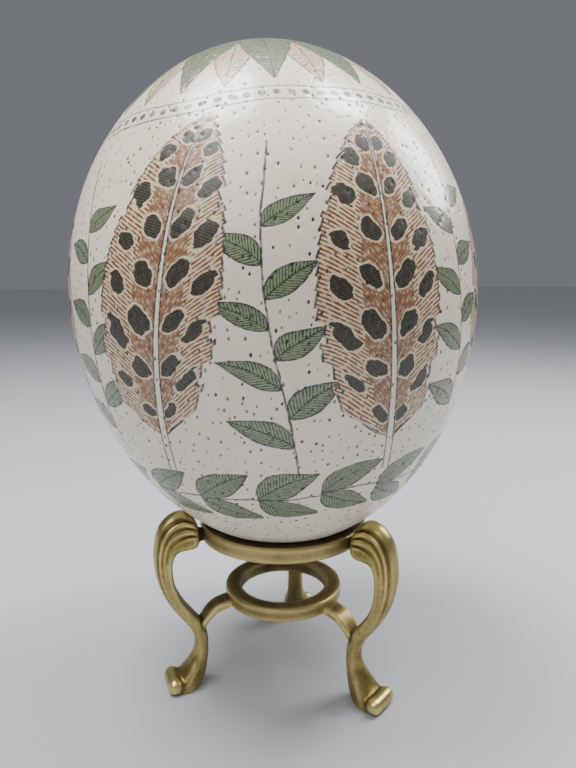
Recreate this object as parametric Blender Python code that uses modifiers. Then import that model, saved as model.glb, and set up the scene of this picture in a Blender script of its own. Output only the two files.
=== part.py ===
# A decorated ostrich egg on its cast brass tripod: two rings held by three cabriole legs.
# Metres, +Z up. The origin is on the ground under the middle of the egg.
import math

import bmesh
import bpy
from mathutils import Matrix

MM = 0.001
GAP = 0.3 * MM                      # clearance between pieces that touch

# Egg: 125 mm across and 154 mm long, a little fuller at the top than at the bottom.
EGG_RADIUS = 62.5 * MM
EGG_HALF_LENGTH = 77.1 * MM
EGG_SKEW = (0.035, -0.038, -0.017)  # how the outline departs from a plain ellipse
EGG_LEAN = math.radians(3.8)        # it rests with its top tipped towards -X
EGG_STEPS = 48
EGG_ROWS = 26

# Seat ring, which the egg rests in, and the smaller ring that braces the legs.
SEAT_OUTER = 28.0 * MM
SEAT_INNER = 23.8 * MM              # where the shell touches; from here the ring dips to its lip
SEAT_LIP = 21.0 * MM
SEAT_TOP = 55.0 * MM
SEAT_HEIGHT = 4.8 * MM
LOWER_OUTER = 19.9 * MM
LOWER_INNER = 14.6 * MM
LOWER_TOP = 30.9 * MM
LOWER_HEIGHT = 4.3 * MM
RING_ROUND = 0.6 * MM
RING_STEPS = 42

LEG_ANGLES = {"leg_back": 90, "leg_left": 210, "leg_right": 330}

# A leg as sections cut across it, from the seat ring over the knee to the toe. Each row gives the
# outer face's distance from the stand's axis and its height, the same for the inner face, then the
# width, where the widest line sits (1 at the inner face, -1 at the outer) and the reeds' depth.
# What reaches below the ground is flattened there, which makes the sole.
LEG_SECTIONS = (
    (28.3, 54.0, 28.3, 50.2, 6.4, 0.0, 0.0),
    (28.6, 55.4, 28.6, 49.5, 8.4, 0.0, 0.0),
    (29.4, 57.2, 29.4, 49.2, 9.8, 0.1, 0.1),
    (30.9, 59.0, 30.9, 49.1, 10.4, 0.3, 0.6),
    (32.9, 60.5, 32.6, 49.1, 10.6, 0.4, 1.0),
    (35.2, 61.4, 34.4, 49.1, 10.6, 0.5, 1.0),
    (38.8, 60.3, 36.3, 48.9, 10.6, 0.5, 1.0),
    (41.9, 57.2, 37.6, 48.0, 10.6, 0.5, 1.0),
    (43.5, 52.6, 38.4, 46.2, 10.6, 0.5, 1.0),
    (44.1, 47.2, 38.7, 44.0, 10.4, 0.5, 1.0),
    (43.8, 42.0, 38.5, 41.0, 9.9, 0.5, 1.0),
    (42.8, 37.3, 38.0, 37.8, 9.1, 0.5, 0.9),
    (41.1, 32.8, 36.8, 34.4, 8.2, 0.4, 0.7),
    (38.6, 28.1, 34.8, 30.5, 7.2, 0.2, 0.3),
    (35.6, 23.8, 31.8, 26.4, 6.4, 0.0, 0.0),
    (33.1, 20.3, 29.0, 22.4, 6.0, 0.0, 0.0),
    (31.8, 16.6, 27.5, 17.9, 5.8, 0.0, 0.0),
    (31.8, 13.6, 27.3, 13.0, 6.0, 0.0, 0.0),
    (32.6, 11.0, 27.8, 8.2, 7.0, -0.1, 0.0),
    (34.0, 8.6, 28.8, 3.6, 8.8, -0.3, 0.0),
    (35.6, 6.5, 30.8, -0.2, 10.2, -0.3, 0.0),
    (37.2, 4.9, 33.6, -2.2, 10.4, -0.2, 0.0),
    (38.8, 4.0, 38.2, -2.4, 9.6, -0.2, 0.0),
)
LEG_SQUARENESS = 0.85               # 1 is an oval, less is a bar with rounded edges
REED_EDGES = (40, 61, 82)           # degrees from the crest: one wide reed and two narrow each side
REED_DEPTH = 0.11                   # of the section's own reach
CREST_STEPS = 4
REED_STEPS = 2
BACK_STEPS = 6
BACK_SQUARENESS = 0.45              # behind the reeds, where the leg has a flat inner side

# The toe's rolled end lies across the leg.
TOE_ROLL_RADIUS = 2.6 * MM
TOE_ROLL_WIDTH = 11.2 * MM
TOE_ROLL_AT = (39.3 * MM, 2.6 * MM)
TOE_ROLL_SIDES = 16
TOE_ROLL_ROUND = 0.8 * MM           # its ends are cast with soft edges

# The arm from the lower ring to the leg, as rows of the same kind.
ARM_SECTIONS = (
    (20.2, 28.6, 20.2, 25.9, 7.0, 0.0, 0.0),
    (22.0, 28.5, 21.8, 25.8, 6.9, 0.0, 0.0),
    (25.2, 27.4, 24.6, 24.8, 6.7, 0.0, 0.0),
    (28.0, 24.9, 26.9, 22.6, 6.4, 0.0, 0.0),
    (30.3, 21.6, 28.8, 19.6, 5.4, 0.0, 0.0),
    (31.0, 19.6, 29.6, 17.8, 4.4, 0.0, 0.0),
)
ARM_SQUARENESS = 0.45
ARM_SIDES = 12


def material(name, color, roughness, metallic):
    """A plain finish for one piece."""
    finish = bpy.data.materials.new(name)
    finish.use_nodes = True
    shader = finish.node_tree.nodes["Principled BSDF"]
    shader.inputs["Base Color"].default_value = (*color, 1.0)
    shader.inputs["Roughness"].default_value = roughness
    shader.inputs["Metallic"].default_value = metallic
    return finish


def mesh_from(name, build):
    """A mesh filled by a function that is given an empty bmesh."""
    shape = bmesh.new()
    build(shape)
    mesh = bpy.data.meshes.new(name)
    shape.to_mesh(mesh)
    shape.free()
    return mesh


def place(name, mesh, finish, collection):
    """A smooth-shaded object with one material."""
    thing = bpy.data.objects.new(name, mesh)
    mesh.materials.clear()
    mesh.materials.append(finish)
    mesh.shade_smooth()
    mesh.set_sharp_from_angle(angle=math.radians(35))
    collection.objects.link(thing)
    return thing


def turned(name, outline, steps, finish, collection, closed):
    """An outline in the XZ plane, run down its outer side, turned about Z."""
    def build(shape):
        points = [shape.verts.new((x, 0.0, z)) for x, z in outline]
        pairs = list(zip(points, points[1:]))
        if closed:
            pairs.append((points[-1], points[0]))
        for pair in pairs:
            shape.edges.new(pair)

    thing = place(name, mesh_from(name, build), finish, collection)
    screw = thing.modifiers.new("Turn", "SCREW")
    screw.steps = steps
    screw.render_steps = steps
    screw.use_merge_vertices = True
    screw.merge_threshold = 0.01 * MM
    return thing


def egg_radius(u):
    """The egg's radius at the height u, from -1 at its lower pole to 1 at its upper pole."""
    skew = sum(k * u ** (power + 1) for power, k in enumerate(EGG_SKEW))
    return EGG_RADIUS * math.sqrt(max(0.0, 1.0 - u * u)) * (1.0 + skew)


def egg_level(radius):
    """The height, from -1 to -0.5, at which the egg's underside has the given radius."""
    low, high = -1.0, -0.5
    for _ in range(40):
        middle = (low + high) / 2
        if egg_radius(middle) < radius:
            low = middle
        else:
            high = middle
    return low


def egg_seating():
    """The upright egg's middle height on its seat, and the height on the axis that it tips about."""
    level = egg_level(SEAT_INNER)
    touch = SEAT_TOP + GAP
    step = 0.001
    slope = (egg_radius(level + step) - egg_radius(level - step)) / (2 * step * EGG_HALF_LENGTH)
    return touch - level * EGG_HALF_LENGTH, touch + SEAT_INNER * slope


def make_egg(finish, collection, centre_z):
    angles = [math.pi * row / EGG_ROWS for row in range(EGG_ROWS + 1)]
    outline = [(egg_radius(math.cos(a)) * (0 < row < EGG_ROWS), EGG_HALF_LENGTH * math.cos(a))
               for row, a in enumerate(angles)]
    egg = turned("egg", outline, EGG_STEPS, finish, collection, closed=False)
    egg.location.z = centre_z
    egg.rotation_euler.y = -EGG_LEAN


def make_ring(name, outer, inner, top, height, inner_edge, finish, collection, axis_x):
    """A band ring with rounded edges; its inner top edge is given as two points, lower one first."""
    low, cut = top - height, RING_ROUND
    outline = [
        (outer - cut, top), (outer - 0.3 * cut, top - 0.3 * cut), (outer, top - cut),
        (outer, low + cut), (outer - cut, low),
        (inner + cut, low), (inner, low + cut), *inner_edge,
    ]
    ring = turned(name, outline, RING_STEPS, finish, collection, closed=True)
    ring.location.x = axis_x


def smooth(rows, cuts):
    """The rows with others between them, on a Catmull-Rom curve through them."""
    out = []
    for i in range(len(rows) - 1):
        p0, p1, p2, p3 = (rows[min(max(i + k, 0), len(rows) - 1)] for k in (-1, 0, 1, 2))
        for cut in range(cuts):
            t = cut / cuts
            out.append(tuple(
                0.5 * (2 * b + (c - a) * t + (2 * a - 5 * b + 4 * c - d) * t ** 2
                       + (3 * b - a - 3 * c + d) * t ** 3)
                for a, b, c, d in zip(p0, p1, p2, p3)))
    return out + [tuple(rows[-1])]


def section_angles():
    """Angles round a section, in degrees from its outer crest, denser over the reeds."""
    first, *rest = REED_EDGES
    half = [first * 2 * i / CREST_STEPS for i in range(CREST_STEPS // 2)]
    start = first
    for edge in rest:
        half += [start + (edge - start) * i / REED_STEPS for i in range(REED_STEPS)]
        start = edge
    back = [start + (360 - 2 * start) * i / BACK_STEPS for i in range(BACK_STEPS + 1)]
    return half + back + [-a for a in reversed(half[1:])]


def groove(angle):
    """How deep in the reeding an angle lies: 0 on a reed's crest, 1 in a groove."""
    away = abs((angle + 180) % 360 - 180)
    start = -REED_EDGES[0]
    for edge in REED_EDGES:
        if away <= edge:
            return abs(2 * (away - start) / (edge - start) - 1) ** 3
        start = edge
    return 0.0


def loft(shape, rows, angles, squareness, back_squareness):
    """A closed body through sections that each lie between an outer and an inner point."""
    rings = []
    for out_x, out_z, in_x, in_z, width, widest, reed in rows:
        ring = []
        for angle in angles:
            across, along = math.sin(math.radians(angle)), math.cos(math.radians(angle))
            power = squareness if along > 0 else squareness + (back_squareness - squareness) * reed
            across = math.copysign(abs(across) ** power, across)
            along = math.copysign(abs(along) ** power, along)
            reach = 1.0 - REED_DEPTH * reed * groove(angle)
            side = (1 + widest) if along > 0 else (1 - widest)
            outward = (1 - widest + along * side * reach) / 2
            x = in_x + (out_x - in_x) * outward
            z = in_z + (out_z - in_z) * outward
            y = -across * reach * width / 2
            ring.append(shape.verts.new((x * MM, y * MM, max(z, 0.0) * MM)))
        rings.append(ring)
    for one, two in zip(rings, rings[1:]):
        for i in range(len(angles)):
            j = (i + 1) % len(angles)
            shape.faces.new((one[i], one[j], two[j], two[i]))
    shape.faces.new(rings[0][::-1])
    shape.faces.new(rings[-1])
    return rings


def wrap_end(ring, radius):
    """Bends an end face round a ring of the given radius about the stand's axis."""
    for vert in ring:
        vert.co.x = math.sqrt(radius ** 2 - vert.co.y ** 2)


def build_leg(shape):
    rows = smooth(LEG_SECTIONS, 2)[:-1]
    rings = loft(shape, rows, section_angles(), LEG_SQUARENESS, BACK_SQUARENESS)
    wrap_end(rings[0], SEAT_OUTER + GAP)


def build_arm(shape):
    angles = [360 * side / ARM_SIDES for side in range(ARM_SIDES)]
    rings = loft(shape, smooth(ARM_SECTIONS, 2), angles, ARM_SQUARENESS, ARM_SQUARENESS)
    wrap_end(rings[0], LOWER_OUTER + GAP)


def build_toe_roll(shape):
    at_x, at_z = TOE_ROLL_AT
    across = Matrix.Translation((at_x, 0.0, at_z)) @ Matrix.Rotation(math.radians(90), 4, "X")
    bmesh.ops.create_cone(shape, cap_ends=True, segments=TOE_ROLL_SIDES, radius1=TOE_ROLL_RADIUS,
                          radius2=TOE_ROLL_RADIUS, depth=TOE_ROLL_WIDTH, matrix=across)
    rims = [edge for edge in shape.edges if any(len(face.verts) > 4 for face in edge.link_faces)]
    bmesh.ops.bevel(shape, geom=rims, offset=TOE_ROLL_ROUND, segments=1, affect="EDGES")


def cast_leg(collection, tools):
    """One leg's mesh: the reeded leg with its toe roll and its arm as a single casting."""
    leg = bpy.data.objects.new("leg_casting", mesh_from("leg_casting", build_leg))
    collection.objects.link(leg)
    for name, build in (("toe_roll", build_toe_roll), ("arm", build_arm)):
        tool = bpy.data.objects.new(name, mesh_from(name, build))
        tool.hide_render = True
        tool.display_type = "WIRE"
        tools.objects.link(tool)
        union = leg.modifiers.new(name, "BOOLEAN")
        union.operation = "UNION"
        union.object = tool
    ready = leg.evaluated_get(bpy.context.evaluated_depsgraph_get())
    mesh = bpy.data.meshes.new_from_object(ready)
    mesh.name = "leg"
    bpy.data.objects.remove(leg)
    return mesh


def main():
    for thing in list(bpy.data.objects):
        bpy.data.objects.remove(thing)
    parts = bpy.data.collections.new("ostrich_egg_on_stand")
    tools = bpy.data.collections.new("cutters")
    bpy.context.scene.collection.children.link(parts)
    bpy.context.scene.collection.children.link(tools)

    shell = material("eggshell", (0.72, 0.68, 0.60), 0.25, 0.0)
    brass = material("aged_brass", (0.42, 0.33, 0.16), 0.38, 1.0)

    upright_z, pivot_z = egg_seating()
    arm_of_lean = upright_z - pivot_z
    axis_x = arm_of_lean * math.sin(EGG_LEAN)
    make_egg(shell, parts, pivot_z + arm_of_lean * math.cos(EGG_LEAN))

    dip = (egg_level(SEAT_INNER) - egg_level(SEAT_LIP)) * EGG_HALF_LENGTH
    seat_edge = ((SEAT_LIP, SEAT_TOP - dip), (SEAT_INNER, SEAT_TOP))
    make_ring("seat_ring", SEAT_OUTER, SEAT_LIP, SEAT_TOP, SEAT_HEIGHT, seat_edge,
              brass, parts, axis_x)
    cut = RING_ROUND / 2
    lower_edge = ((LOWER_INNER, LOWER_TOP - cut), (LOWER_INNER + cut, LOWER_TOP))
    make_ring("lower_ring", LOWER_OUTER, LOWER_INNER, LOWER_TOP, LOWER_HEIGHT, lower_edge,
              brass, parts, axis_x)

    casting = cast_leg(parts, tools)
    for name, angle in LEG_ANGLES.items():
        leg = place(name, casting, brass, parts)
        leg.location.x = axis_x
        leg.rotation_euler.z = math.radians(angle)


main()
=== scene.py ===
# A decorated ostrich egg resting in a small cast brass tripod.
# Metres, +Z up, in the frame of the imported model: the viewer stands on the -Y side.
import math

import bmesh
import bpy
import numpy as np
from mathutils import Matrix, Vector
from mathutils.geometry import delaunay_2d_cdt
from mathutils.kdtree import KDTree


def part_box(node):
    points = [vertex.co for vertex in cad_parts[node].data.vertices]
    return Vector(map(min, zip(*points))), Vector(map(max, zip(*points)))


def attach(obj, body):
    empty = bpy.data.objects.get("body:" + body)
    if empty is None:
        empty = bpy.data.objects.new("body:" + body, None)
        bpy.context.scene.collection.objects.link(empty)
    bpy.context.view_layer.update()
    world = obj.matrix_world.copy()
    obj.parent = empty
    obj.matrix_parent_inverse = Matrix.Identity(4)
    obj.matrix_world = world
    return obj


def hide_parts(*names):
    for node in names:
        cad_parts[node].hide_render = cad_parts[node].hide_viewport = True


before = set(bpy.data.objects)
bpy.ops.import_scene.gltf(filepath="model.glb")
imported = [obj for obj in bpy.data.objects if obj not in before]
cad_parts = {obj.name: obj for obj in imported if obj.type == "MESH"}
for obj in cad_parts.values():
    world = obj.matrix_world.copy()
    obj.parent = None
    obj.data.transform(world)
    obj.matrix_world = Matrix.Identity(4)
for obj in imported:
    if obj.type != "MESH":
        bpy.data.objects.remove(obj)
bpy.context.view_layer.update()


# ---------------------------------------------------------------------------------------------
# The egg. A blown ostrich egg: one shell of hard cream lime, glossy where it is worn smooth and
# pitted all over with breathing pores. It rests in the seat ring, with its top tipped to -X.
MM = 0.001
EGG_RADIUS = 62.5 * MM
EGG_HALF_LENGTH = 77.1 * MM
EGG_SKEW = (0.035, -0.038, -0.017)   # how the outline departs from a plain ellipse
EGG_LEAN = math.radians(3.8)
SHELL_POINTS = 28000
PORES = 6000                         # before those too close to another are dropped
PORE_SPREAD = 0.42                   # how far a pore strays from an even spacing
PORE_APART = 1.35 * MM
PORE_RINGS = ((0.25 * MM, 0.055 * MM, 0.5), (0.58 * MM, 0.0, 0.0))   # radius, depth, darkness
PORE_DEPTH = 0.17 * MM
PORE_SIZES = (0.55, 1.45)            # the smallest and the largest, as shares of those sizes
PORE_SIDES = 6
PORE_STRETCH = 1.25
PORE_CLEAR = 0.2 * MM                # of plain shell between a pit and the next points
PORE_SEED = 11
JOIN_TOLERANCE = 1e-9                # under which two points would be joined as one
OUTLINE_SAMPLES = 2000


def even_directions(count):
    """Unit vectors spread evenly over a sphere, on a golden-angle spiral."""
    step = np.arange(count)
    up = 1 - (2 * step + 1) / count
    turn = step * math.pi * (3 - math.sqrt(5))
    level = np.sqrt(1 - up ** 2)
    return np.stack((level * np.cos(turn), level * np.sin(turn), up), 1)


def egg_points(directions):
    """Points of the upright egg about its middle, for directions on a sphere."""
    up = directions[:, 2]
    swell = 1 + sum(k * up ** (power + 1) for power, k in enumerate(EGG_SKEW))
    return directions * np.stack((EGG_RADIUS * swell, EGG_RADIUS * swell,
                                  np.full(len(up), EGG_HALF_LENGTH)), 1)


def tree_of(points):
    """A search tree that finds the nearest of some points."""
    tree = KDTree(len(points))
    for index, point in enumerate(points):
        tree.insert(point, index)
    tree.balance()
    return tree


def scattered_pores(rng):
    """Pore directions: uneven, but never so close that two pits run together."""
    spacing = math.sqrt(4 * math.pi / PORES)
    loose = even_directions(PORES) + rng.normal(0, PORE_SPREAD * spacing, (PORES, 3))
    loose /= np.linalg.norm(loose, axis=1)[:, None]
    at = egg_points(loose)
    tree = tree_of(at)
    kept = []
    dropped = set()
    for index, point in enumerate(at):
        if index in dropped:
            continue
        kept.append(index)
        dropped.update(other for _, other, _ in tree.find_range(point, PORE_APART) if other > index)
    return loose[kept]


def pore_ring(centres, radii, phase):
    """The directions of a small ring of points round each pore, a little longer than wide."""
    side = np.cross(centres, (0.3, 0.5, 0.81))
    side /= np.linalg.norm(side, axis=1)[:, None]
    other = np.cross(centres, side) * PORE_STRETCH
    share = (radii / EGG_RADIUS)[:, None]
    rings = []
    for corner in range(PORE_SIDES):
        angle = 2 * math.pi * (corner + phase) / PORE_SIDES
        rings.append(centres + share * (math.cos(angle) * side + math.sin(angle) * other))
    ring = np.concatenate(rings)
    return ring / np.linalg.norm(ring, axis=1)[:, None]


def build_egg():
    """The upright shell's mesh, with its pores, whose darkness each point stores."""
    rng = np.random.default_rng(PORE_SEED)
    pores = scattered_pores(rng)
    pit_size = rng.uniform(*PORE_SIZES, len(pores))
    ground = even_directions(SHELL_POINTS)
    pore_tree = tree_of(egg_points(pores))
    clear = PORE_RINGS[-1][0] * PORE_STRETCH + PORE_CLEAR
    ground = ground[[pore_tree.find(point)[2] > clear for point in egg_points(ground)]]
    layers = [(pores, PORE_DEPTH * pit_size, 1.0)]
    for number, (radius, depth, darkness) in enumerate(PORE_RINGS):
        ring_size = pit_size if depth else np.ones(len(pores))
        ring = pore_ring(pores, radius * ring_size, number / 2)
        layers.append((ring, np.tile(depth * pit_size, PORE_SIDES), darkness))
    layers.append((ground, np.zeros(len(ground)), 0.0))
    directions = np.concatenate([layer[0] for layer in layers])
    depths = np.concatenate([layer[1] for layer in layers])
    pore_mask = np.concatenate([np.full(len(layer[0]), layer[2]) for layer in layers])

    # Seen from the lower pole the sphere unrolls to a plane, where the points are joined up.
    flat = directions[:, :2] / (1 + directions[:, 2:])
    faces = delaunay_2d_cdt([Vector(point) for point in flat], [], [], 0, JOIN_TOLERANCE)[2]
    outward = directions / np.array((EGG_RADIUS, EGG_RADIUS, EGG_HALF_LENGTH))
    outward /= np.linalg.norm(outward, axis=1)[:, None]
    points = egg_points(directions) - outward * depths[:, None]
    shape = bmesh.new()
    verts = [shape.verts.new(point) for point in points]
    for face in faces:
        shape.faces.new([verts[index] for index in face])
    bmesh.ops.holes_fill(shape, edges=[edge for edge in shape.edges if edge.is_boundary], sides=0)
    bmesh.ops.triangulate(shape, faces=[face for face in shape.faces if len(face.verts) > 3])
    bmesh.ops.recalc_face_normals(shape, faces=shape.faces)
    mesh = bpy.data.meshes.new("egg_shell")
    shape.to_mesh(mesh)
    shape.free()
    mesh.attributes.new("pore", "FLOAT", "POINT").data.foreach_set("value", pore_mask)
    return mesh


def lay_out_egg(mesh):
    """Wraps the shell in one sheet, and stores in mm where a point is for the drawing."""
    corners = np.empty(len(mesh.loops), np.int32)
    mesh.loops.foreach_get("vertex_index", corners)
    at = np.empty(len(mesh.vertices) * 3, np.float32)
    mesh.vertices.foreach_get("co", at)
    at = at.reshape(-1, 3)[corners]
    turn = (np.arctan2(at[:, 1], at[:, 0]) / (2 * math.pi) - 0.25) % 1
    by_face = turn.reshape(-1, 3)
    by_face[by_face < by_face.max(1)[:, None] - 0.5] += 1
    up = np.linspace(1, -1, OUTLINE_SAMPLES)
    outline = egg_points(np.stack((np.sqrt(1 - up ** 2), 0 * up, up), 1))
    run = np.concatenate(([0], np.cumsum(np.linalg.norm(np.diff(outline, axis=0), axis=1))))
    down = np.interp(-at[:, 2], -outline[:, 2], run)
    girth = np.hypot(at[:, 0], at[:, 1])
    sheet = mesh.uv_layers.new(name="OFBake")
    sheet.uv.foreach_set("vector", np.stack((turn, 1 - down / run[-1]), 1).ravel())
    place = mesh.attributes.new("drawn_at", "FLOAT_VECTOR", "CORNER")
    place.data.foreach_set("vector", np.stack((turn, down / MM, girth / MM), 1).ravel())


def rest_on_seat(mesh):
    """Leans the shell, and gives its box the middle and the top of the solid that it stands for."""
    mesh.transform(Matrix.Rotation(-EGG_LEAN, 4, "Y"))
    at = np.array([vert.co for vert in mesh.vertices])
    low, high = (np.array(corner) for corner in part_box("egg"))
    shift = (low + high) / 2 - (at.min(0) + at.max(0)) / 2
    shift[2] = high[2] - at[:, 2].max()
    mesh.transform(Matrix.Translation(shift))


egg_mesh = build_egg()
lay_out_egg(egg_mesh)
rest_on_seat(egg_mesh)
egg_mesh.shade_smooth()
egg = bpy.data.objects.new("ostrich_egg", egg_mesh)
bpy.context.scene.collection.objects.link(egg)


class Measure:
    """A number that varies over a surface: a shader socket that takes plain arithmetic."""

    def __init__(self, socket):
        self.socket = socket

    def math(self, operation, *others, clamp=False):
        """The outcome of a Math node on this number and any others."""
        tree = self.socket.id_data
        node = tree.nodes.new("ShaderNodeMath")
        node.operation = operation
        node.use_clamp = clamp
        for slot, value in zip(node.inputs, (self, *others)):
            if isinstance(value, Measure):
                tree.links.new(value.socket, slot)
            else:
                slot.default_value = value
        return Measure(node.outputs[0])

    def between(self, low, high):
        """This number, held between two limits."""
        return self.math("MAXIMUM", low).math("MINIMUM", high)

    def __add__(self, other):
        return self.math("ADD", other)

    def __sub__(self, other):
        return self.math("SUBTRACT", other)

    def __rsub__(self, other):
        return self.math("MULTIPLY_ADD", -1.0, other)

    def __mul__(self, other):
        return self.math("MULTIPLY", other)

    def __truediv__(self, other):
        return self.math("DIVIDE", other)

    def __pow__(self, other):
        return self.math("POWER", other)

    def __abs__(self):
        return self.math("ABSOLUTE")

    __radd__ = __add__
    __rmul__ = __mul__


def node_on(tree, kind, inputs=(), **settings):
    """A node with its settings made and its inputs joined or set."""
    node = tree.nodes.new(kind)
    for name, value in settings.items():
        setattr(node, name, value)
    for name, value in dict(inputs).items():
        if isinstance(value, Measure):
            value = value.socket
        if isinstance(value, bpy.types.NodeSocket):
            tree.links.new(value, node.inputs[name])
        else:
            node.inputs[name].default_value = value
    return node


def cloudy(tree, at, size_mm, detail=2.0):
    """Smooth noise about 0.5 whose clouds are about so many mm across."""
    return Measure(node_on(tree, "ShaderNodeTexNoise", {"Vector": at, "Scale": 1000 / size_mm,
                                                        "Detail": detail}).outputs["Fac"])


def chance(number, seed):
    """A fixed random number from 0 to 1 for each whole number. Each use has a seed of its own."""
    tree = number.socket.id_data
    return Measure(node_on(tree, "ShaderNodeTexWhiteNoise", {"W": number + seed},
                           noise_dimensions="1D").outputs["Value"])


def inside(room, soft=0.09):
    """1 where there is room, in mm, and 0 where there is none, with a soft edge."""
    return room.math("MULTIPLY_ADD", 0.5 / soft, 0.5, clamp=True)


def line(distance, width):
    """1 on a pen line of some width, from the distance in mm to its middle."""
    return inside(width / 2 - abs(distance))


def pen_strokes(across, along, spacing, length, width):
    """Hatching: rows of short tapered strokes, each row begun at its own place."""
    row = (across / spacing).math("FLOOR")
    run = ((along / length) + chance(row, 3.0) * 7).math("FRACT") * 2 - 1
    taper = 1 - (run * run) ** 3
    return line(across - (row + 0.5) * spacing, taper * width)


def over(tree, below, mask, color):
    """One colour laid over another by a mask."""
    mix = node_on(tree, "ShaderNodeMix", {"Factor": mask}, data_type="RGBA")
    for slot, value in ((mix.inputs[6], below), (mix.inputs[7], color)):
        if isinstance(value, bpy.types.NodeSocket):
            tree.links.new(value, slot)
        else:
            slot.default_value = (*value, 1.0)
    return mix.outputs[2]


# The drawing on the shell is a plain decorative one, in pen and wash: spotted feathers round the
# middle with leafy sprigs between them, a rosette on the crown and a leaf garland below.
CREAM = (0.860, 0.790, 0.640)
CREAM_SHADE = (0.720, 0.630, 0.460)
SIENNA = (0.185, 0.055, 0.013)
SIENNA_WASH = (0.580, 0.365, 0.175)
SLATE = (0.007, 0.009, 0.016)
OLIVE = (0.016, 0.017, 0.008)
GREEN = (0.005, 0.024, 0.007)
GREEN_WASH = (0.070, 0.140, 0.038)
PORE_DIRT = (0.030, 0.023, 0.016)
SHELL_ROUGHNESS = 0.24
INK_ROUGHNESS, PORE_ROUGHNESS = 0.16, 0.20   # added to the shell's
COAT, COAT_ROUGHNESS = 0.30, 0.12
SKIN_BUMP, SKIN_STRENGTH = 0.1 * MM, 0.6

# Sizes in mm. A foot is that far down the shell from its crown. A pen is the width of its line,
# and hatching is given by the spacing, the length and the width of its strokes.
DRAWING_SWAY = 5.0                   # how far the whole drawing wanders from a regular one
PEN_SHAKE = 0.75
FEATHERS = 7
FEATHER_PHASE = 0.30
FEATHER_FOOT = 151.0
FEATHER_STRAY = 9.0                  # how much higher or lower one stands than another
FEATHER_LENGTH = 90.0
FEATHER_QUILL = 11.0
FEATHER_HALF_WIDTH = 18.0
FEATHER_TILT = 0.44
FEATHER_BOW = 0.0028
VANE_FOOT, VANE_TIP = 0.50, 0.72     # how bluntly the vane starts and ends
VANE_FULLEST = 0.446                 # of the curve that those two give
BARB_SLOPE, BARB_CURL = 0.85, 0.010
BARB_TOOTH, BARB_SPLIT = 3.4, 5.1
HATCH_APART = 1.06
FEATHER_HATCH = (HATCH_APART, 5.2, 0.54)
SHADE_HATCH = (HATCH_APART, 3.4, 0.44)
FEATHER_PEN, QUILL_PEN = 0.56, 0.46
SPOT_APART = 11.0
SPOT_ROWS = ((0.29, 0.0), (0.71, 0.5))   # place in the vane's half width, start
SPOT_HALO = 0.55
SPOT_HATCH = (0.62, 2.6, 0.46)
LEAF_FULLNESS = 0.8                  # under 1, a leaf is widest nearer its foot
LEAF_HATCH = (0.92, 3.3, 0.44)
LEAF_PEN, MIDRIB_PEN = 0.48, 0.36
SPRIG_FOOT = 150.0
SPRIG_STRAY = 8.0
SPRIG_LENGTH = 88.0
SPRIG_WAVE, SPRIG_SWAY = 17.0, 2.6
SPRIG_LEAF_APART = 15.0
SPRIG_LEAF = (44.0, 15.5, 3.3, 0.018)    # angle, length, half width, bend
SPRIG_PEN = 0.55
ROSETTE_PETALS = 12
ROSETTE_EDGE = 55.0
LONG_PETAL_FOOT, LONG_PETAL_HALF_WIDTH = 10.0, 6.6
SHORT_PETAL_FOOT, SHORT_PETAL_HALF_WIDTH = 27.0, 4.6
BEADS = 84
BEAD_BAND, BEAD_RADIUS = 4.5, 1.0
BAND_PEN = 0.45
GARLAND_LEAVES = 18
GARLAND_DOWN = 161.0
GARLAND_UPPER = (41.0, 18.5, 4.3, 0.014)
GARLAND_LOWER = (41.0, 17.0, 4.0, 0.014)
GARLAND_PEN = 0.6


def column(turn, girth, count, phase):
    """Which of so many equal columns a point is in, and how far in mm it is from its middle."""
    place = turn * count + phase
    number = place.math("FLOOR")
    aside = (place - number - 0.5) * girth * (2 * math.pi / count)
    return number.math("WRAP", float(count), 0.0), aside


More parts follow.
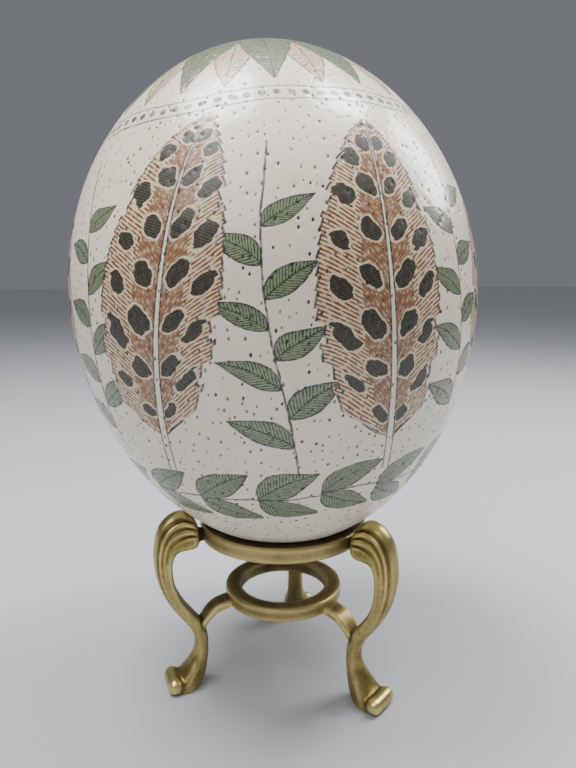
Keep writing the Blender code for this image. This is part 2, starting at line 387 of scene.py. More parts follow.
def draw_feather(turn, down, girth, shake):
    """The masks of a row of spotted feathers: their ground, hatching, spots and outlines."""
    number, aside = column(turn, girth, FEATHERS, FEATHER_PHASE)
    rise = (FEATHER_FOOT - down) + (chance(number, 11.0) - 0.5) * FEATHER_STRAY
    lean = (chance(number, 12.0) - 0.5) * FEATHER_TILT
    middle = rise - FEATHER_LENGTH / 2
    bow = (middle * middle) * FEATHER_BOW * (chance(number, 13.0) - 0.3)
    aside = aside - middle * lean - bow
    far = abs(aside)
    vane = ((rise - FEATHER_QUILL) / (FEATHER_LENGTH - FEATHER_QUILL)).between(0.0, 1.0)
    barb = rise - far * BARB_SLOPE + far * far * BARB_CURL
    tooth = (barb / BARB_TOOTH).math("FRACT")
    split = inside(chance((barb / BARB_SPLIT).math("FLOOR"), 14.0) - 0.80)
    ragged = tooth * 0.7 + split * 2.2
    side = aside.math("SIGN") * -0.10 + 1
    fullest = FEATHER_HALF_WIDTH / VANE_FULLEST
    half = (vane ** VANE_FOOT) * ((1 - vane) ** VANE_TIP) * side * fullest - ragged
    room = half - far + shake
    shaft = vane * -0.85 + 1.05
    ground = inside(room) * inside(far - shaft)

    rows = []
    for share, start in SPOT_ROWS:
        step = (rise - far * 0.45) / SPOT_APART + start
        which = step.math("FLOOR")
        along = (step - which - 0.5) * SPOT_APART
        across = (far - half * share) * 0.92
        swell = vane * (1 - vane) * 1.52 + 0.62
        size = swell * (chance(which + aside.math("SIGN") * 40, 15.0 + share) * 0.9 + 2.35)
        rows.append(size - (along * along + across * across).math("SQRT"))
    spots = rows[0].math("MAXIMUM", rows[1]) + shake * 3.4
    spot_mask = inside(spots) * inside(room - 0.5) * inside(far - shaft - 0.3)
    halo = inside(-SPOT_HALO - spots)
    hatch = pen_strokes(barb, far * 1.3, *FEATHER_HATCH)
    shade = pen_strokes(barb + HATCH_APART / 2, far * 1.3, *SHADE_HATCH)
    shade = shade * inside(half * 0.42 - far)
    hatch = hatch.math("MAXIMUM", shade) * ground * halo
    outline = line(room, FEATHER_PEN) * inside(rise - FEATHER_QUILL + 1)
    quill = line(far - shaft, QUILL_PEN) * inside(rise) * inside(FEATHER_LENGTH * 0.985 - rise)
    outline = outline.math("MAXIMUM", quill) * inside(rise)
    scribble = pen_strokes(rise + aside * 0.4, far, *SPOT_HATCH)
    spot_mask = spot_mask * (scribble * 0.10 + 0.90)
    cover = inside(room).math("MAXIMUM", inside(shaft - far) * inside(rise))
    return cover, ground, hatch, spot_mask, outline


def draw_leaf(reach, lift, angle, length, half_width, bend):
    """The masks of a leaf that grows from a point at an angle: its body, veins and edge."""
    turn = math.radians(angle)
    run = reach * math.cos(turn) + lift * math.sin(turn)
    off = lift * math.cos(turn) - reach * math.sin(turn) + run * run * bend
    share = (run / length).between(0.0, 1.0)
    half = (share ** LEAF_FULLNESS * math.pi).math("SINE") * half_width
    room = half - abs(off)
    grown = inside(run + 0.2) * inside(length + 0.2 - run)
    body = inside(room) * grown
    veins = pen_strokes(run - abs(off) * 0.9, abs(off) * 1.4, *LEAF_HATCH) * body
    edge = line(room, LEAF_PEN).math("MAXIMUM", line(off, MIDRIB_PEN) * body) * grown
    return body, veins, edge


def draw_sprig(turn, down, girth, shake):
    """The masks of the leafy sprigs that stand between the feathers."""
    number, aside = column(turn, girth, FEATHERS, FEATHER_PHASE + 0.5)
    rise = (SPRIG_FOOT - down) + (chance(number, 21.0) - 0.5) * SPRIG_STRAY
    wave = ((rise / SPRIG_WAVE) + chance(number, 22.0) * 6).math("SINE")
    aside = aside - wave * SPRIG_SWAY + shake
    last = SPRIG_LENGTH / SPRIG_LEAF_APART - 0.9
    sides = []
    for side, start in ((1.0, 0.0), (-1.0, 0.5)):
        step = rise / SPRIG_LEAF_APART + start
        which = step.math("FLOOR")
        lift = (step - which) * SPRIG_LEAF_APART - 1.5
        size = (1.12 - (which * SPRIG_LEAF_APART) / SPRIG_LENGTH * 0.42)
        marks = draw_leaf(aside * side / size, lift / size, *SPRIG_LEAF)
        grown = inside((which - 0.4) * 9) * inside((last - which) * 9)
        sides.append([mark * grown * inside(aside * side + 0.1) for mark in marks])
    body, veins, edge = (one.math("MAXIMUM", other) for one, other in zip(*sides))
    stem = line(aside, SPRIG_PEN) * inside(rise) * inside(SPRIG_LENGTH - 6 - rise)
    return body, veins, edge.math("MAXIMUM", stem)


def draw_rosette(turn, down, girth, shake):
    """The masks of the petals round the crown and of the band of beads under them."""
    aside = column(turn, girth, ROSETTE_PETALS, 0.0)[1]
    long_petal = draw_leaf(down - LONG_PETAL_FOOT, aside + shake, 0.0,
                           ROSETTE_EDGE - LONG_PETAL_FOOT - 3, LONG_PETAL_HALF_WIDTH, 0.0)
    aside = column(turn, girth, ROSETTE_PETALS, 0.5)[1]
    short_petal = draw_leaf(down - SHORT_PETAL_FOOT, aside + shake, 0.0,
                            ROSETTE_EDGE - SHORT_PETAL_FOOT - 2, SHORT_PETAL_HALF_WIDTH, 0.0)
    hidden = 1 - long_petal[0]
    upper_line = line(down - ROSETTE_EDGE + shake, BAND_PEN)
    lower_line = line(down - ROSETTE_EDGE - BEAD_BAND + shake, BAND_PEN)
    aside = column(turn, girth, BEADS, 0.0)[1]
    high = down - ROSETTE_EDGE - BEAD_BAND / 2
    beads = inside(BEAD_RADIUS - (high * high + aside * aside).math("SQRT"))
    band = upper_line.math("MAXIMUM", lower_line).math("MAXIMUM", beads)
    return long_petal, [mark * hidden for mark in short_petal], band


def draw_garland(turn, down, girth, shake):
    """The masks of the leaves that lie along a wavy stem round the foot of the shell."""
    number, aside = column(turn, girth, GARLAND_LEAVES, 0.0)
    drop = down - GARLAND_DOWN - (number * 2.4).math("SINE") * 0.8 + shake
    period = girth * (2 * math.pi / GARLAND_LEAVES)
    upper = draw_leaf(aside + period * 0.5, drop * -1 - 0.3, *GARLAND_UPPER)
    lower = draw_leaf(aside + period * 0.5, drop - 0.3, *GARLAND_LOWER)
    marks = [one.math("MAXIMUM", other) for one, other in zip(upper, lower)]
    marks[2] = marks[2].math("MAXIMUM", line(drop, GARLAND_PEN))
    return marks


eggshell = bpy.data.materials.new("Polished eggshell")
eggshell.use_nodes = True
shell_tree = eggshell.node_tree
shell_shader = shell_tree.nodes["Principled BSDF"]
body_at = node_on(shell_tree, "ShaderNodeTexCoord").outputs["Object"]
stored = node_on(shell_tree, "ShaderNodeAttribute", attribute_name="drawn_at")
drawn_at = node_on(shell_tree, "ShaderNodeSeparateXYZ", {"Vector": stored.outputs["Vector"]})
turn, down, girth = (Measure(drawn_at.outputs[axis]) for axis in "XYZ")
shake = (cloudy(shell_tree, body_at, 3.2) - 0.5) * PEN_SHAKE
sway = cloudy(shell_tree, body_at, 26.0) - 0.5
down = down + sway * DRAWING_SWAY

drawn_with = (turn, down, girth, shake)
feather = draw_feather(*drawn_with)
feather_cover, feather_ground, feather_hatch, feather_spots, feather_lines = feather
sprig = [mark * (1 - feather_cover) for mark in draw_sprig(*drawn_with)]
long_petal, short_petal, bead_band = draw_rosette(*drawn_with)
garland = draw_garland(*drawn_with)

mottle = cloudy(shell_tree, body_at, 9.0, 3.0)
pore = Measure(node_on(shell_tree, "ShaderNodeAttribute", attribute_name="pore").outputs["Fac"])
pore_ink = ((cloudy(shell_tree, body_at, 7.0) - 0.42) * 7).between(0.78, 1.0)
pore_mask = ((pore - 0.34) * 5).between(0.0, 1.0)
worn_ink = ((cloudy(shell_tree, body_at, 1.4, 1.0) - 0.30) * 4.5).between(0.7, 1.0)

color = over(shell_tree, CREAM, mottle * 0.6, CREAM_SHADE)
color = over(shell_tree, color, feather_ground * (worn_ink * 0.5 + 0.1), SIENNA_WASH)
color = over(shell_tree, color, short_petal[0] * 0.45, SIENNA_WASH)
for leaf in (sprig, long_petal, garland):
    color = over(shell_tree, color, leaf[0] * 0.80, GREEN_WASH)
color = over(shell_tree, color, pore_mask * pore_ink, PORE_DIRT)
color = over(shell_tree, color, feather_hatch * (worn_ink * 0.4 + 0.6), SIENNA)
color = over(shell_tree, color, short_petal[1] * worn_ink * 0.85, SIENNA)
for leaf in (sprig, long_petal, garland):
    color = over(shell_tree, color, leaf[1] * worn_ink * 0.9, GREEN)
color = over(shell_tree, color, feather_spots, OLIVE)
slate_lines = feather_lines
for mark in (sprig[2], long_petal[2], short_petal[2], bead_band, garland[2]):
    slate_lines = slate_lines.math("MAXIMUM", mark)
color = over(shell_tree, color, slate_lines * worn_ink * 0.92, SLATE)
shell_tree.links.new(color, shell_shader.inputs["Base Color"])

drawn = slate_lines.math("MAXIMUM", feather_spots)
rough = cloudy(shell_tree, body_at, 5.0, 1.0) * 0.12 + SHELL_ROUGHNESS
rough = rough + drawn * INK_ROUGHNESS + pore_mask * PORE_ROUGHNESS
shell_tree.links.new(rough.socket, shell_shader.inputs["Roughness"])
shell_shader.inputs["Coat Weight"].default_value = COAT
shell_shader.inputs["Coat Roughness"].default_value = COAT_ROUGHNESS
skin = cloudy(shell_tree, body_at, 2.4, 1.0)
bump = node_on(shell_tree, "ShaderNodeBump", {"Height": skin, "Distance": SKIN_BUMP,
                                              "Strength": SKIN_STRENGTH})
shell_tree.links.new(bump.outputs["Normal"], shell_shader.inputs["Normal"])
egg_mesh.materials.append(eggshell)
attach(egg, "root")
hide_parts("egg")


# ---------------------------------------------------------------------------------------------
# The seat ring. A band of cast brass, turned true and softened at its edges. Its top is dished to
# the slope of the shell, which rests in it, and rises a little towards the line where they touch.
SEAT_OUTER = 28.0
SEAT_TOUCH = 24.0
SEAT_LIP = 21.0
SEAT_HEIGHT = 4.8
SEAT_RISE = 0.36                     # of the touching line over the ring's outer edge
SEAT_DIP = 1.60                      # of the lip under the touching line
RING_ROUND = 0.6
RING_STEPS = 288
ROUND_STEPS = 5
OUTLINE_STEP = 0.4
RELIEF_SCALE = 0.10 * MM             # a point this proud of its surroundings counts as fully so
RELIEF_PASSES = 10
RELIEF_BLUR = 3
# Grime over the whole ring, then painted shade on its inner part under the egg, more where it faces
# up.
SEAT_GRIME, SEAT_INSIDE_SHADE, SEAT_TOP_SHADE = 0.38, 0.30, 0.60
seat_low, seat_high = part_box("seat_ring")
STAND_AXIS = (seat_low + seat_high) / 2
SEAT_TOP = seat_high.z / MM


def band_outline(corners):
    """A ring's cut, all the way round, from corners given as distance, height and rounding in mm."""
    outline = []
    for number, (reach, height, rounding) in enumerate(corners):
        corner = Vector((reach, height))
        before = Vector(corners[number - 1][:2])
        after = Vector(corners[(number + 1) % len(corners)][:2])
        start = corner + (before - corner).normalized() * rounding
        end = corner + (after - corner).normalized() * rounding
        for step in range(ROUND_STEPS + 1):
            part = step / ROUND_STEPS
            outline.append(start.lerp(corner, part).lerp(corner.lerp(end, part), part))
    dense = []
    for one, two in zip(outline, outline[1:] + outline[:1]):
        cuts = max(1, round((two - one).length / OUTLINE_STEP))
        dense += [one.lerp(two, cut / cuts) for cut in range(cuts)]
    return dense


def turned_ring(name, outline):
    """A closed outline in mm turned about the stand's axis."""
    shape = bmesh.new()
    points = [shape.verts.new((reach * MM, 0, height * MM)) for reach, height in outline]
    edges = [shape.edges.new(pair) for pair in zip(points, points[1:] + points[:1])]
    bmesh.ops.spin(shape, geom=points + edges, axis=(0, 0, 1), cent=(0, 0, 0),
                   angle=2 * math.pi, steps=RING_STEPS, use_merge=True)
    bmesh.ops.remove_doubles(shape, verts=shape.verts, dist=0.001 * MM)
    bmesh.ops.recalc_face_normals(shape, faces=shape.faces)
    bmesh.ops.translate(shape, verts=shape.verts, vec=(STAND_AXIS.x, STAND_AXIS.y, 0))
    mesh = bpy.data.meshes.new(name)
    shape.to_mesh(mesh)
    shape.free()
    mesh.shade_smooth()
    ring = bpy.data.objects.new(name, mesh)
    bpy.context.scene.collection.objects.link(ring)
    return ring


def read_points(mesh, what):
    """A mesh's points, as "co" or "normal", one row each."""
    values = np.empty(len(mesh.vertices) * 3)
    mesh.vertices.foreach_get(what, values)
    return values.reshape(-1, 3)


def neighbour_average(mesh):
    """A function that averages a value of each point over the points it shares an edge with."""
    count = len(mesh.vertices)
    pairs = np.empty(len(mesh.edges) * 2, np.int32)
    mesh.edges.foreach_get("vertices", pairs)
    ends = pairs.reshape(-1, 2)
    one = np.concatenate((ends[:, 0], ends[:, 1]))
    other = np.concatenate((ends[:, 1], ends[:, 0]))
    near = np.bincount(one, minlength=count)

    def average(values):
        if values.ndim == 1:
            return np.bincount(one, weights=values[other], minlength=count) / near
        return np.stack([average(column) for column in values.T], 1)

    return average


def mark_relief(mesh):
    """Stores on each point how far it stands proud of its surroundings, from -1 to 1."""
    average = neighbour_average(mesh)
    at, out = read_points(mesh, "co"), read_points(mesh, "normal")
    softened = at
    for _ in range(RELIEF_PASSES):
        softened = average(softened)
    proud = np.clip(((at - softened) * out).sum(1) / RELIEF_SCALE, -1, 1)
    for _ in range(RELIEF_BLUR):
        proud = (proud + average(proud)) / 2
    mesh.attributes.new("proud", "FLOAT", "POINT").data.foreach_set("value", proud)
    return at, out


def mark_grime_and_shade(mesh, grime_and_shade):
    """Stores on each point how grimy it is and how much painted shade it gets, from 0 to 1."""
    mesh.attributes.new("grime_and_shade", "FLOAT", "POINT").data.foreach_set("value", np.clip(grime_and_shade, 0, 1))


def ramp(values, start, end):
    """0 up to one value and 1 from the other on, with an even rise between."""
    return np.clip((values - start) / (end - start), 0, 1)


BRASS = (0.290, 0.205, 0.058)
BRASS_DULL = (0.140, 0.098, 0.030)
BRASS_BRIGHT = (0.780, 0.640, 0.270)
BRASS_BROWN = (0.034, 0.021, 0.009)
BRASS_ROUGHNESS = 0.27
BRASS_BUMP = 0.12 * MM

# The brass has darkened with age: brown in its hollows, dull and patchy on its plain faces and
# rubbed bright along its edges. Every piece of it shares these effects, with its own values.
# Where a piece stores grime and shade it is also painted browner and less metallic: real grime, and
# painted shade where it is recessed or under the egg, which also paints out bright reflections
# there.
ageing = bpy.data.node_groups.new("Brass ageing", "ShaderNodeTree")
for name, default in (("Patch size mm", 6.0), ("Tarnish", 0.5), ("Wear", 0.6)):
    socket = ageing.interface.new_socket(name, in_out="INPUT", socket_type="NodeSocketFloat")
    socket.default_value = default
for name, kind in (("Color", "NodeSocketColor"), ("Metallic", "NodeSocketFloat"),
                   ("Roughness", "NodeSocketFloat"), ("Height", "NodeSocketFloat")):
    ageing.interface.new_socket(name, in_out="OUTPUT", socket_type=kind)
given = ageing.nodes.new("NodeGroupInput")
aged = ageing.nodes.new("NodeGroupOutput")
cast_at = node_on(ageing, "ShaderNodeTexCoord").outputs["Object"]
proud = Measure(node_on(ageing, "ShaderNodeAttribute", attribute_name="proud").outputs["Fac"])
grime_and_shade = Measure(node_on(ageing, "ShaderNodeAttribute", attribute_name="grime_and_shade").outputs["Fac"])
patch_scale = Measure(given.outputs["Patch size mm"]).math("POWER", -1.0) * 1000
patchwork = node_on(ageing, "ShaderNodeTexNoise", {"Vector": cast_at, "Scale": patch_scale,
                                                   "Detail": 4.0})
patches = Measure(patchwork.outputs["Fac"])
specks = cloudy(ageing, cast_at, 0.9, 2.0)
grain = cloudy(ageing, cast_at, 0.28, 2.0)
dull = ((patches - 0.42) * 3.2 * Measure(given.outputs["Tarnish"]) + 0.25).between(0.0, 1.0)
hollow = (proud * -1.1 + (specks - 0.5) * 0.6 - 0.08).between(0.0, 1.0)
# Brown in the hollows is patina. Where grime and shade are stored it is partly grime and partly
# painted shade.
brown = (hollow + grime_and_shade * (patches * 0.8 + 0.6)).math("MINIMUM", 1.0)
bright = (proud * 1.7 + (specks - 0.5) * 0.5 - 0.12).between(0.0, 1.0)
bright = bright * Measure(given.outputs["Wear"]) * (1 - grime_and_shade)
cast_color = over(ageing, BRASS, dull, BRASS_DULL)
cast_color = over(ageing, cast_color, brown * 0.85, BRASS_BROWN)
cast_color = over(ageing, cast_color, bright, BRASS_BRIGHT)
ageing.links.new(cast_color, aged.inputs["Color"])
# Less metallic where grime and shade are stored, which paints out the bright reflections there.
ageing.links.new((1 - grime_and_shade * 0.80).socket, aged.inputs["Metallic"])
satin = dull * 0.10 + brown * 0.26 + grain * 0.08 + BRASS_ROUGHNESS - bright * 0.06
ageing.links.new(satin.socket, aged.inputs["Roughness"])
ageing.links.new((grain * 0.5 + specks * 0.5 + patches).socket, aged.inputs["Height"])


def brass_finish(name, patch_size, tarnish, wear, bump_strength):
    """A brass material with its own share of the ageing."""
    finish = bpy.data.materials.new(name)
    finish.use_nodes = True
    tree = finish.node_tree
    shader = tree.nodes["Principled BSDF"]
    age = node_on(tree, "ShaderNodeGroup", node_tree=ageing)
    for socket, value in (("Patch size mm", patch_size), ("Tarnish", tarnish), ("Wear", wear)):
        age.inputs[socket].default_value = value
    tree.links.new(age.outputs["Color"], shader.inputs["Base Color"])
    for shared in ("Metallic", "Roughness"):
        tree.links.new(age.outputs[shared], shader.inputs[shared])
    bump = node_on(tree, "ShaderNodeBump", {"Height": age.outputs["Height"],
                                            "Distance": BRASS_BUMP, "Strength": bump_strength})
    tree.links.new(bump.outputs["Normal"], shader.inputs["Normal"])
    return finish


seat_ring = turned_ring("seat_band", band_outline((
    (SEAT_OUTER, SEAT_TOP, RING_ROUND),
    (SEAT_OUTER, SEAT_TOP - SEAT_HEIGHT, RING_ROUND),
    (SEAT_LIP, SEAT_TOP - SEAT_HEIGHT, RING_ROUND),
    (SEAT_LIP, SEAT_TOP + SEAT_RISE - SEAT_DIP, RING_ROUND / 2),
    (SEAT_TOUCH, SEAT_TOP + SEAT_RISE, RING_ROUND / 3),
)))
seat_at, seat_out = mark_relief(seat_ring.data)
seat_reach = np.hypot(seat_at[:, 0] - STAND_AXIS.x, seat_at[:, 1] - STAND_AXIS.y) / MM
# Painted shade: the ring's top and inner faces under the egg are made darker and less metallic, most
# where they face up.
seat_inward = ramp(seat_reach, SEAT_OUTER - 0.5, SEAT_OUTER - 1.4)
seat_facing_up = ramp(seat_out[:, 2], 0.2, 0.8)
seat_painted_shade = SEAT_INSIDE_SHADE + SEAT_TOP_SHADE * seat_facing_up
mark_grime_and_shade(seat_ring.data, SEAT_GRIME + seat_inward * seat_painted_shade)
seat_ring.data.materials.append(brass_finish("Cradle band brass", patch_size=7.0, tarnish=0.9,
                                             wear=0.8, bump_strength=0.25))
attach(seat_ring, "root")
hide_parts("seat_ring")


# ---------------------------------------------------------------------------------------------
# The lower ring. A smaller band of the same cast brass, which braces the three legs.
LOWER_OUTER = 19.9
LOWER_INNER = 14.6
LOWER_HEIGHT = 4.3
LOWER_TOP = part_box("lower_ring")[1].z / MM
# Grime over the whole ring, and painted shade on its inner part.
LOWER_GRIME, LOWER_INSIDE_SHADE = 0.28, 0.40

lower_ring = turned_ring("brace_band", band_outline((
    (LOWER_OUTER, LOWER_TOP, RING_ROUND),
    (LOWER_OUTER, LOWER_TOP - LOWER_HEIGHT, RING_ROUND),
    (LOWER_INNER, LOWER_TOP - LOWER_HEIGHT, RING_ROUND),
    (LOWER_INNER, LOWER_TOP, RING_ROUND),
)))
lower_at = mark_relief(lower_ring.data)[0]
lower_reach = np.hypot(lower_at[:, 0] - STAND_AXIS.x, lower_at[:, 1] - STAND_AXIS.y) / MM
# Painted shade on the ring's inner part, away from its outer wall.
lower_inward = ramp(lower_reach, LOWER_OUTER - 1.5, LOWER_OUTER - 3.5)
mark_grime_and_shade(lower_ring.data, LOWER_GRIME + LOWER_INSIDE_SHADE * lower_inward)
lower_ring.data.materials.append(brass_finish("Brace band brass", patch_size=7.0, tarnish=0.9,
                                              wear=0.7, bump_strength=0.25))
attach(lower_ring, "root")
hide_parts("lower_ring")


# ---------------------------------------------------------------------------------------------
# The three legs. Each is one brass casting: a reeded cabriole knee soldered to the seat ring, a
# plain stem, a foot that flares to a rolled toe, and an arm that curls in to the lower ring.
LEG_ANGLES = {"leg_back": 90, "leg_left": 210, "leg_right": 330}

# Rows in mm: the outer face's distance from the stand's axis and its height, the same for the
# inner face, the width, where the widest line sits (1 inner, -1 outer), and the reeds' depth.
LEG_SECTIONS = (
    (27.5, 54.4, 27.5, 50.6, 4.6, 0.0, 0.0),
    (28.7, 54.6, 28.7, 50.4, 4.8, 0.0, 0.0),
    (29.6, 55.4, 29.6, 49.9, 6.2, 0.0, 0.0),
    (30.1, 57.0, 30.1, 49.5, 8.8, 0.1, 0.1),
    (31.0, 58.9, 31.0, 49.2, 10.1, 0.3, 0.6),
    (32.9, 60.5, 32.6, 49.1, 10.6, 0.4, 1.0),
    (35.2, 61.4, 34.4, 49.1, 10.6, 0.5, 1.0),
    (38.8, 60.3, 36.3, 48.9, 10.6, 0.5, 1.0),
    (41.9, 57.2, 37.6, 48.0, 10.6, 0.5, 1.0),
    (43.5, 52.6, 38.4, 46.2, 10.6, 0.5, 1.0),
    (44.1, 47.2, 38.7, 44.0, 10.4, 0.5, 1.0),
    (43.8, 42.0, 38.5, 41.0, 9.9, 0.5, 1.0),
    (42.8, 37.3, 38.0, 37.8, 9.1, 0.5, 0.9),
    (41.1, 32.8, 36.8, 34.4, 8.2, 0.4, 0.7),
    (38.6, 28.1, 34.8, 30.5, 7.2, 0.2, 0.3),
    (35.6, 23.8, 31.8, 26.4, 6.4, 0.0, 0.0),
    (33.1, 20.3, 29.0, 22.4, 6.0, 0.0, 0.0),
    (31.8, 16.6, 27.5, 17.9, 5.8, 0.0, 0.0),
    (31.8, 13.6, 27.3, 13.0, 6.0, 0.0, 0.0),
    (32.6, 11.0, 27.8, 8.2, 7.0, -0.1, 0.0),
    (34.0, 8.6, 28.8, 3.6, 8.8, -0.3, 0.0),
    (35.6, 6.5, 30.8, -0.2, 10.2, -0.3, 0.0),
    (37.2, 5.0, 33.6, -2.2, 10.8, -0.2, 0.0),
    (38.9, 4.2, 38.2, -2.4, 10.2, -0.2, 0.0),
)
ARM_SECTIONS = (
    (19.0, 28.9, 19.0, 27.2, 6.4, 0.0, 0.0),
    (20.0, 28.8, 19.9, 26.3, 7.0, 0.0, 0.0),
    (22.0, 28.5, 21.8, 25.8, 6.9, 0.0, 0.0),
    (25.2, 27.4, 24.6, 24.8, 6.7, 0.0, 0.0),
    (28.0, 24.9, 26.9, 22.6, 6.4, 0.0, 0.0),
    (30.3, 21.6, 28.8, 19.6, 5.4, 0.0, 0.0),
    (31.0, 19.6, 29.6, 17.8, 4.4, 0.0, 0.0),
)
LEG_SQUARENESS = 0.85
BACK_SQUARENESS = 0.45
ARM_SQUARENESS = 0.4
REED_EDGES = (40, 61, 82)            # degrees from the crest: one wide reed and two narrow each side
REED_DEPTH = 0.15
LEG_SIDES = 108
NECK_END = 30.6                      # where the knee leaves its neck on the seat ring
ARM_END = 29.5
ARM_SIDES = 48
CUTS = 8
TOE_ROLL_RADIUS = 2.6
TOE_ROLL_WIDTH = 12.0
TOE_ROLL_AT = (39.3, 2.6)
TOE_ROLL_ROUND = 2.3
TOE_SIDES = 48
CAST_GRAIN = 0.24 * MM               # how fine a detail the casting holds
CAST_SOFTENING = 5
TOE_SOFTENING = 26                   # further passes where the foot runs into its rolled toe
TOE_BLEND = (34.0, 37.0)             # where those passes start and where they act in full
SOLE_DEPTH = 0.12 * MM               # what lies lower than this is made flat
# Grime over the whole leg, painted shadow on the neck, darker arm tops and painted shade on the
# inward faces.
LEG_GRIME, NECK_SHADOW, ARM_TOP_DARKENING, INNER_SHADE = 0.10, 1.8, 0.35, 0.58


def smooth(rows, cuts):
    """The rows with others between them, on a Catmull-Rom curve through them."""
    out = []
    for i in range(len(rows) - 1):
        p0, p1, p2, p3 = (rows[min(max(i + k, 0), len(rows) - 1)] for k in (-1, 0, 1, 2))
        for cut in range(cuts):
            t = cut / cuts
            out.append(tuple(
                0.5 * (2 * b + (c - a) * t + (2 * a - 5 * b + 4 * c - d) * t ** 2
                       + (3 * b - a - 3 * c + d) * t ** 3)
                for a, b, c, d in zip(p0, p1, p2, p3)))
    return out + [tuple(rows[-1])]


def groove(angle):
    """How deep in the reeding an angle lies: 0 on a reed's crest, 1 in a groove."""
    away = abs((angle + 180) % 360 - 180)
    start = -REED_EDGES[0]
    for edge in REED_EDGES:
        if away <= edge:
            return abs(2 * (away - start) / (edge - start) - 1) ** 3
        start = edge
    return 0.0


def loft(rows, sides, squareness, back_squareness):
    """A closed body through sections that each lie between an outer and an inner point."""
    shape = bmesh.new()
    rings = []
    for out_x, out_z, in_x, in_z, width, widest, reed in rows:
        ring = []
        for number in range(sides):
            angle = 360 * number / sides
            across, along = math.sin(math.radians(angle)), math.cos(math.radians(angle))
            power = squareness if along > 0 else squareness + (back_squareness - squareness) * reed
            across = math.copysign(abs(across) ** power, across)
            along = math.copysign(abs(along) ** power, along)
            reach = 1.0 - REED_DEPTH * reed * groove(angle)
            side = (1 + widest) if along > 0 else (1 - widest)
            outward = (1 - widest + along * side * reach) / 2
            x = in_x + (out_x - in_x) * outward
            z = in_z + (out_z - in_z) * outward
            y = -across * reach * width / 2
            ring.append(shape.verts.new((x * MM, y * MM, max(z, 0.0) * MM)))
        rings.append(ring)
    for one, two in zip(rings, rings[1:]):
        for i in range(sides):
            j = (i + 1) % sides
            shape.faces.new((one[i], one[j], two[j], two[i]))
    shape.faces.new(rings[0][::-1])
    shape.faces.new(rings[-1])
    return shape


def toe_roll():
    """The rolled toe: a round bar across the foot, with rounded ends."""
    shape = bmesh.new()
    radius = TOE_ROLL_RADIUS * MM
    at_x, at_z = TOE_ROLL_AT
    middle = Matrix.Translation((at_x * MM, 0, at_z * MM))
    bmesh.ops.create_cone(shape, cap_ends=True, segments=TOE_SIDES, radius1=radius,
                          radius2=radius, depth=TOE_ROLL_WIDTH * MM,
                          matrix=middle @ Matrix.Rotation(math.radians(90), 4, "X"))
    rims = [edge for edge in shape.edges if any(len(face.verts) > 4 for face in edge.link_faces)]
    bmesh.ops.bevel(shape, geom=rims, offset=TOE_ROLL_ROUND * MM, segments=7, affect="EDGES",
                    profile=0.5)
    return shape


def as_object(name, shape):
    """An object of its own from a shape being built."""
    mesh = bpy.data.meshes.new(name)
    shape.to_mesh(mesh)
    shape.free()
    thing = bpy.data.objects.new(name, mesh)
    bpy.context.scene.collection.objects.link(thing)
    return thing


def cast_leg():
    """One leg's mesh about the stand's axis, reaching out along +X."""
    leg_rows, arm_rows = smooth(LEG_SECTIONS, CUTS), smooth(ARM_SECTIONS, CUTS)
    leg = as_object("casting", loft(leg_rows, LEG_SIDES, LEG_SQUARENESS, BACK_SQUARENESS))
    added = [as_object("toe", toe_roll()),
             as_object("arm", loft(arm_rows, ARM_SIDES, ARM_SQUARENESS, ARM_SQUARENESS))]
    for tool in added:
        union = leg.modifiers.new(tool.name, "BOOLEAN")
        union.operation = "UNION"
        union.object = tool
    melt = leg.modifiers.new("melt", "REMESH")
    melt.mode = "VOXEL"
    melt.voxel_size = CAST_GRAIN
    soften = leg.modifiers.new("soften", "SMOOTH")
    soften.factor = 0.5
    soften.iterations = CAST_SOFTENING
    worked_out = bpy.context.evaluated_depsgraph_get()
    mesh = bpy.data.meshes.new_from_object(leg.evaluated_get(worked_out))
    for spent in (leg, *added):
        bpy.data.objects.remove(spent)
    average = neighbour_average(mesh)
    at = read_points(mesh, "co")
    toe = ramp(at[:, 0] / MM, *TOE_BLEND)[:, None]
    for _ in range(TOE_SOFTENING):
        at += toe * (average(at) - at) / 2
    at[at[:, 2] < SOLE_DEPTH, 2] = 0.0
    mesh.vertices.foreach_set("co", at.ravel())
    mesh.update()
    return mesh


casting = cast_leg()
leg_at, leg_out = mark_relief(casting)
reach, height = leg_at[:, 0] / MM, leg_at[:, 2] / MM
# Painted shadow on the neck in the gap between the knee and the seat ring, and painted shade on the
# faces turned in towards the axis. The arms' upper faces are made darker too.
neck = ramp(reach, NECK_END, SEAT_OUTER + 0.2) * (height > LOWER_TOP * 1.4)
arm_top = ramp(leg_out[:, 2], 0.3, 0.9) * (reach < ARM_END) * (height < LOWER_TOP)
facing_in = ramp(-leg_out[:, 0], 0.1, 0.8)
mark_grime_and_shade(casting, LEG_GRIME + neck * NECK_SHADOW + arm_top * ARM_TOP_DARKENING + INNER_SHADE * facing_in)
leg_brass = brass_finish("Cast leg brass", patch_size=5.0, tarnish=0.75, wear=0.95,
                         bump_strength=0.3)
for node, angle in LEG_ANGLES.items():
    leg_mesh = casting.copy()
    leg_mesh.transform(Matrix.Translation((STAND_AXIS.x, STAND_AXIS.y, 0))
                       @ Matrix.Rotation(math.radians(angle), 4, "Z"))
    leg_mesh.shade_smooth()
    leg = bpy.data.objects.new("cabriole_" + node, leg_mesh)
    bpy.context.scene.collection.objects.link(leg)
    leg_mesh.materials.append(leg_brass)
    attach(leg, "root")
    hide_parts(node)


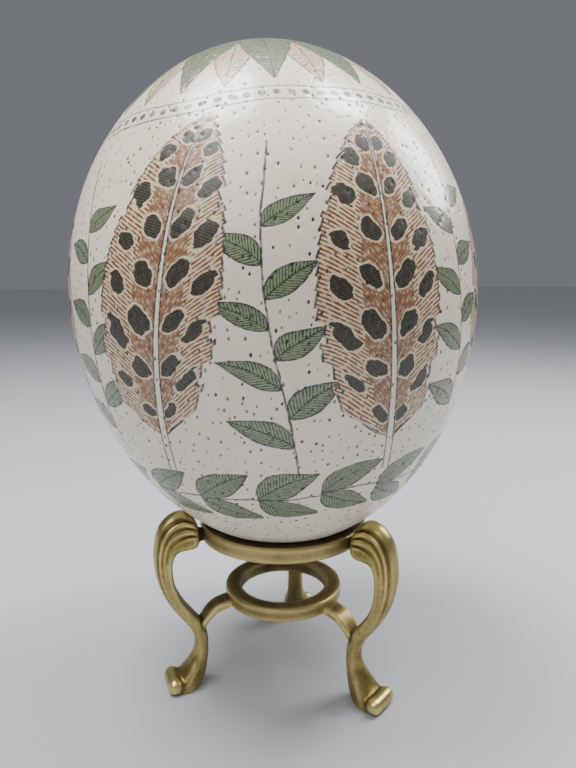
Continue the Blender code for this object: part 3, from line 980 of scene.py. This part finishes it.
# ---------------------------------------------------------------------------------------------
# The setting: a plain pale floor, soft studio light and the camera at the photo's viewing angle.
FLOOR_SIZE = 40.0
FLOOR_COLOR = (0.40, 0.41, 0.43)
SKY_COLOR = (0.62, 0.66, 0.72)
SKY_STRENGTH = 0.27
LIT_MIDDLE = Vector((0, 0, 0.12))
bpy.ops.mesh.primitive_plane_add(size=FLOOR_SIZE, location=(0, 0, 0))
floor = bpy.context.object
floor.name = "floor"
floor_paint = bpy.data.materials.new("Pale floor")
floor_paint.use_nodes = True
floor_shader = floor_paint.node_tree.nodes["Principled BSDF"]
floor_shader.inputs["Base Color"].default_value = (*FLOOR_COLOR, 1)
floor_shader.inputs["Roughness"].default_value = 0.7
floor.data.materials.append(floor_paint)

world = bpy.data.worlds.new("Studio")
world.use_nodes = True
sky = world.node_tree.nodes["Background"]
sky.inputs["Color"].default_value = (*SKY_COLOR, 1)
sky.inputs["Strength"].default_value = SKY_STRENGTH
bpy.context.scene.world = world

SOFT_LIGHTS = (
    # name, place in metres, size in metres, power in watts
    ("softbox_over_left", (-0.24, -0.06, 0.90), (0.34, 0.34), 9.5),
    ("softbox_over_right", (0.31, 0.13, 0.86), (0.16, 0.24), 4.5),
    ("softbox_back_right", (0.55, 0.36, 0.58), (0.26, 0.36), 4.5),
    ("softbox_front", (-0.35, -0.80, 0.95), (0.8, 0.6), 4.6),
    ("softbox_overhead", (0.0, -0.15, 1.30), (1.2, 1.2), 8.5),
)
for name, place, size, power in SOFT_LIGHTS:
    light = bpy.data.lights.new(name, "AREA")
    light.shape = "RECTANGLE"
    light.size, light.size_y = size
    light.energy = power
    lamp = bpy.data.objects.new(name, light)
    lamp.location = place
    lamp.rotation_euler = (LIT_MIDDLE - Vector(place)).to_track_quat("-Z", "Y").to_euler()
    bpy.context.scene.collection.objects.link(lamp)

OVERHEAD_POWER = 0.5
OVERHEAD_SPREAD = math.radians(70)
overhead = bpy.data.lights.new("overhead_glow", "SUN")
overhead.energy = OVERHEAD_POWER
overhead.angle = OVERHEAD_SPREAD
bpy.context.scene.collection.objects.link(bpy.data.objects.new("overhead_glow", overhead))

CAMERA_AT = (0.03384, -0.1929, 0.13283)
CAMERA_TURN = (80.526, 0.318, 8.745)
CAMERA_LENS = 28.125
view = bpy.data.cameras.new("photo_view")
view.lens = CAMERA_LENS
view.sensor_width = 36
view.clip_start = 0.01
camera = bpy.data.objects.new("photo_view", view)
camera.location = CAMERA_AT
camera.rotation_euler = [math.radians(turn) for turn in CAMERA_TURN]
bpy.context.scene.collection.objects.link(camera)
bpy.context.scene.camera = camera
